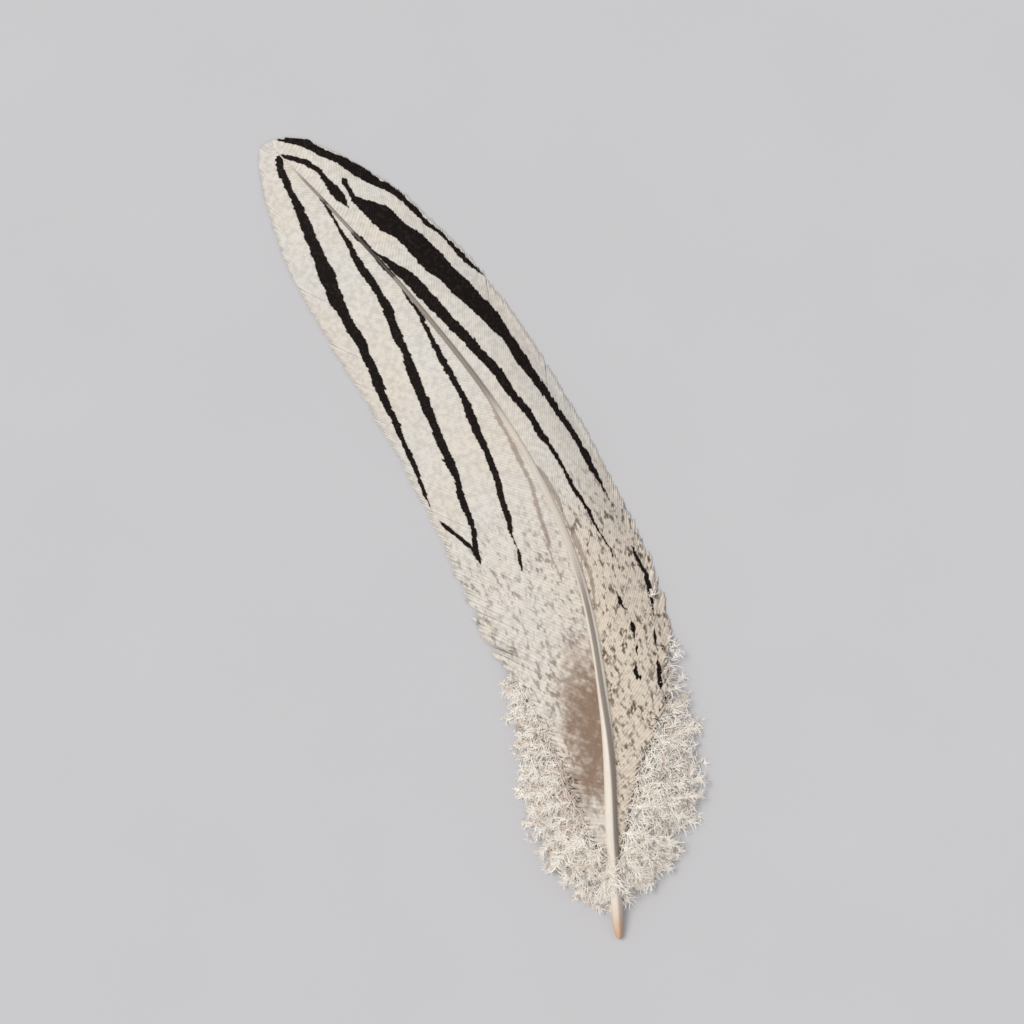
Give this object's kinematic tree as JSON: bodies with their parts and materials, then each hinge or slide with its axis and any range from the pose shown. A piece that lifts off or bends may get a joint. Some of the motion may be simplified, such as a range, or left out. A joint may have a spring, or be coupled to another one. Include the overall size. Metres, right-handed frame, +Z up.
{
  "type": "pheasant body feather",
  "caption": "Short body feather lying flat, outer side up: a tapering bowed shaft, a wide and a narrow web of barbs, and loose down at the base.",
  "frame": {"origin": "on the resting surface, below the middle of the feather's bounding box", "axes": "+Y from the quill end to the tip, +Z up out of the feather's outer side, +X towards the narrow web"},
  "size_m": [0.026, 0.1052, 0.0051],
  "materials": {
    "shaft_horn": "smooth ivory horn, a little glossy",
    "vane_barbs": "white combed barbs with black lines, soft sheen",
    "down": "matt cream and grey-brown fluff"
  },
  "bodies": {
    "root": {"shaft": "shaft_horn", "left_vane": "vane_barbs", "right_vane": "vane_barbs", "left_down": "down", "right_down": "down"}
  },
  "joints": []
}
